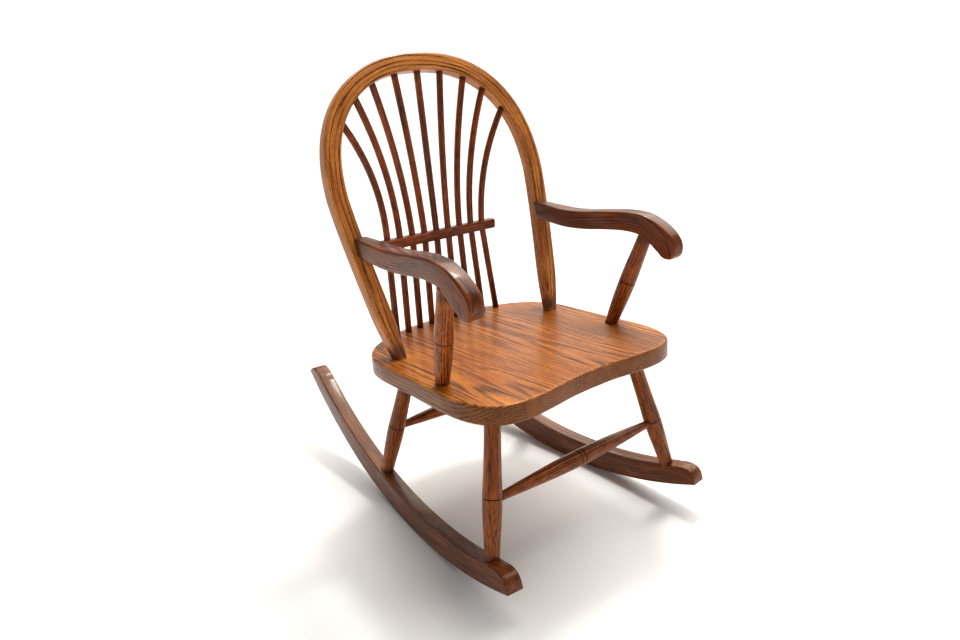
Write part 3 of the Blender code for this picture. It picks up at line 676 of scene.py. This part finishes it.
def oak(name, light, mid, dark, spacing, wander, rings, pores, fleck, tone, roughness=0.30,
        boards=False):
    """Stained oak. spacing and wander are the year rings' width and waviness in metres, rings and
    pores say how dark those are, fleck how many pores follow each other in a metre, and tone how
    light the wood between them is.
    """
    g = Graph(name)
    grain = g.attribute("grain", "Vector")
    if boards:
        grain, index, seam = board_grain(g, grain)
    early = early_wood(g, grain, spacing, wander)
    pore = open_pores(g, grain, early, fleck)
    coarse = g.ramp(g.noise(grain, COARSE_WAVES, 2.0, 0.55), (0.36, 1.0), (0.60, 0.0))
    line = g.math("MULTIPLY", early, g.math("ADD", g.math("MULTIPLY", coarse, 0.50), 0.50), True)
    cloud = g.ramp(g.noise(grain, CLOUD_WAVES, 4.0, 0.6), (0.33, 0.0), (0.66, 1.0))
    speck = g.ramp(g.noise(grain, SPECK_WAVES, 2.0, 0.6), (0.34, 1.0), (0.56, 0.0))
    depth = g.math("ADD", g.math("MULTIPLY", line, rings), g.math("MULTIPLY", pore, pores), True)
    depth = g.math("ADD", depth, g.math("MULTIPLY", speck, SPECK_DEPTH), True)
    colour = g.mix(g.math("ADD", g.math("MULTIPLY", cloud, 0.8), tone - 0.40, True), mid, light)
    colour = g.mix(depth, colour, dark)
    # Darker stain at joints and scored rings; on the seat's rim, darker stain and painted shade.
    shade = g.math("MULTIPLY", g.attribute("shade", "Fac"), SHADE_STRENGTH, True)
    colour = g.mix(shade, colour, DARK_STAIN_AND_SHADE)
    if boards:
        tint = g.math("FRACT", g.math("MULTIPLY", index, 0.731))
        colour = g.mix(g.math("MULTIPLY", tint, BOARD_TINT), colour, mid)
        colour = g.mix(g.math("MULTIPLY", seam, SEAM_SHADE), colour, DARK_STAIN_AND_SHADE)
    g.put(g.shader.inputs["Base Color"], colour)
    varnish(g, pore, line, roughness)
    return g.material


def plain(name, colour, roughness, metallic=0.0):
    g = Graph(name)
    g.shader.inputs["Base Color"].default_value = colour
    g.shader.inputs["Roughness"].default_value = roughness
    g.shader.inputs["Metallic"].default_value = metallic
    return g.material


def wear(node, material):
    """A CAD piece that keeps its own shape."""
    NODES[node].data.materials.clear()
    NODES[node].data.materials.append(material)


def seat_oak():
    return oak("oak_seat", rgb(214, 128, 38), rgb(146, 72, 18), rgb(56, 23, 8), spacing=0.0036,
               wander=0.012, rings=0.66, pores=0.72, fleck=13.0, tone=0.54, roughness=0.28, boards=True)


def bow_oak():
    return oak("oak_bow", rgb(230, 144, 66), rgb(156, 84, 32), rgb(60, 29, 12), spacing=0.0023,
               wander=0.004, rings=0.52, pores=0.72, fleck=15.0, tone=0.55)


def arm_oak():
    return oak("oak_arm", rgb(146, 68, 22), rgb(86, 36, 11), rgb(22, 10, 6), spacing=0.0032,
               wander=0.009, rings=0.50, pores=0.70, fleck=24.0, tone=0.42)


def turned_oak():
    return oak("oak_turned", rgb(186, 94, 30), rgb(108, 48, 14), rgb(26, 12, 7), spacing=0.0030,
               wander=0.008, rings=0.42, pores=0.82, fleck=75.0, tone=0.45)


def runner_oak():
    return oak("oak_rocker", rgb(144, 75, 32), rgb(84, 38, 16), rgb(22, 11, 7), spacing=0.0034,
               wander=0.010, rings=0.46, pores=0.70, fleck=26.0, tone=0.42)


def spindle_oak():
    return oak("oak_spindle", rgb(176, 80, 25), rgb(98, 39, 12), rgb(22, 10, 6), spacing=0.0028,
               wander=0.006, rings=0.40, pores=0.82, fleck=75.0, tone=0.42)


# ---- the chair -------------------------------------------------------------------------------
def build_back():
    make_bow(bow_oak())
    material = spindle_oak()
    make_spindles(material)
    make_crossbar(material)


def build_side(side, tag, arm, runner, leg):
    make_arm(side, tag, arm)
    make_runner(side, tag, runner)
    for node, ends, shape, grooves, shades in (
            ("arm_post_", (POST_FOOT, POST_TOP), POST_SHAPE, POST_GROOVES, POST_SHADES),
            ("front_leg_", FRONT_LEG, LEG_SHAPE, (FRONT_GROOVE,), FRONT_LEG_SHADES),
            ("rear_leg_", REAR_LEG, LEG_SHAPE, (REAR_GROOVE,), REAR_LEG_SHADES)):
        start, end = ((side * x, y, z) for x, y, z in ends)
        turned(node + tag, start, end, shape, grooves, shades, leg)


def build_stretcher(which, leg, share, grooves, material):
    p = Vector(leg[0]).lerp(Vector(leg[1]), share)
    reach = p.x - STRETCHER_STOP
    turned(which + "_stretcher", (-reach, p.y, p.z), (reach, p.y, p.z), STRETCHER_SHAPE, grooves,
           STRETCHER_SHADES, material)


def build_chair():
    make_seat(seat_oak())
    build_back()
    arm, runner, leg = arm_oak(), runner_oak(), turned_oak()
    plug = plain("oak_plug", rgb(96, 52, 28), 0.35)
    steel = plain("screw_steel", rgb(170, 170, 172), 0.32, 1.0)
    for side, tag in ((1, "left"), (-1, "right")):
        build_side(side, tag, arm, runner, leg)
        wear("arm_screw_" + tag, steel)
        wear("screw_plug_" + tag, plug)
    build_stretcher("front", FRONT_LEG, FRONT_STRETCHER, STRETCHER_GROOVES, leg)
    build_stretcher("rear", REAR_LEG, REAR_STRETCHER, (), leg)


# ---- stage, camera and light -----------------------------------------------------------------
def build_stage():
    bm = bmesh.new()
    bmesh.ops.create_grid(bm, x_segments=1, y_segments=1, size=FLOOR_REACH)
    mesh = bpy.data.meshes.new("floor")
    bm.to_mesh(mesh)
    bm.free()
    floor = bpy.data.objects.new("floor", mesh)
    bpy.context.scene.collection.objects.link(floor)
    grey = (FLOOR_GREY, FLOOR_GREY, FLOOR_GREY, 1.0)
    mesh.materials.append(plain("floor_paint", grey, FLOOR_ROUGHNESS))


def build_camera():
    azimuth, elevation, roll = CAMERA_AZIMUTH, CAMERA_ELEVATION, CAMERA_ROLL
    ahead = Vector((-math.sin(azimuth) * math.cos(elevation), math.cos(azimuth) * math.cos(elevation),
                    -math.sin(elevation)))
    level_side = ahead.cross(Vector((0, 0, 1))).normalized()
    level_up = level_side.cross(ahead)
    side = level_side * math.cos(roll) + level_up * math.sin(roll)
    up = side.cross(ahead)
    data = bpy.data.cameras.new("camera")
    data.sensor_width = CAMERA_SENSOR
    data.lens = CAMERA_LENS
    camera = bpy.data.objects.new("camera", data)
    turn = Matrix((side, up, -ahead)).transposed().to_4x4()
    camera.matrix_world = Matrix.Translation(CAMERA_PLACE) @ turn
    bpy.context.scene.collection.objects.link(camera)
    bpy.context.scene.camera = camera


def area_light(name, place, target, size, power, colour):
    data = bpy.data.lights.new(name, "AREA")
    data.shape = "RECTANGLE"
    data.size, data.size_y = size
    data.energy = power
    data.color = colour
    lamp = bpy.data.objects.new(name, data)
    lamp.location = place
    lamp.rotation_mode = "QUATERNION"
    lamp.rotation_quaternion = (Vector(target) - Vector(place)).to_track_quat("-Z", "Y")
    bpy.context.scene.collection.objects.link(lamp)


def build_world():
    """A white room near the horizon, dim overhead, so that the varnish keeps its colour."""
    world = bpy.data.worlds.new("studio")
    world.use_nodes = True
    nodes, links = world.node_tree.nodes, world.node_tree.links
    coords = nodes.new("ShaderNodeTexCoord")
    split = nodes.new("ShaderNodeSeparateXYZ")
    fade = nodes.new("ShaderNodeValToRGB")
    for element, (height, level) in zip(fade.color_ramp.elements, WORLD_FADE):
        element.position = height
        element.color = (level, level, level, 1.0)
    links.new(coords.outputs["Generated"], split.inputs[0])
    links.new(split.outputs[2], fade.inputs[0])
    links.new(fade.outputs[0], nodes["Background"].inputs["Color"])
    bpy.context.scene.world = world


def build_sun():
    sun = bpy.data.lights.new("key", "SUN")
    sun.energy = SUN_POWER
    sun.color = SUN_COLOUR
    sun.angle = SUN_ANGLE
    key = bpy.data.objects.new("key", sun)
    key.rotation_mode = "QUATERNION"
    key.rotation_quaternion = Vector(SUN_FROM).to_track_quat("Z", "Y")
    bpy.context.scene.collection.objects.link(key)


build_chair()
build_stage()
build_camera()
build_world()
build_sun()
for lamp in LAMPS:
    area_light(*lamp)
bpy.context.scene.view_settings.view_transform = "Standard"
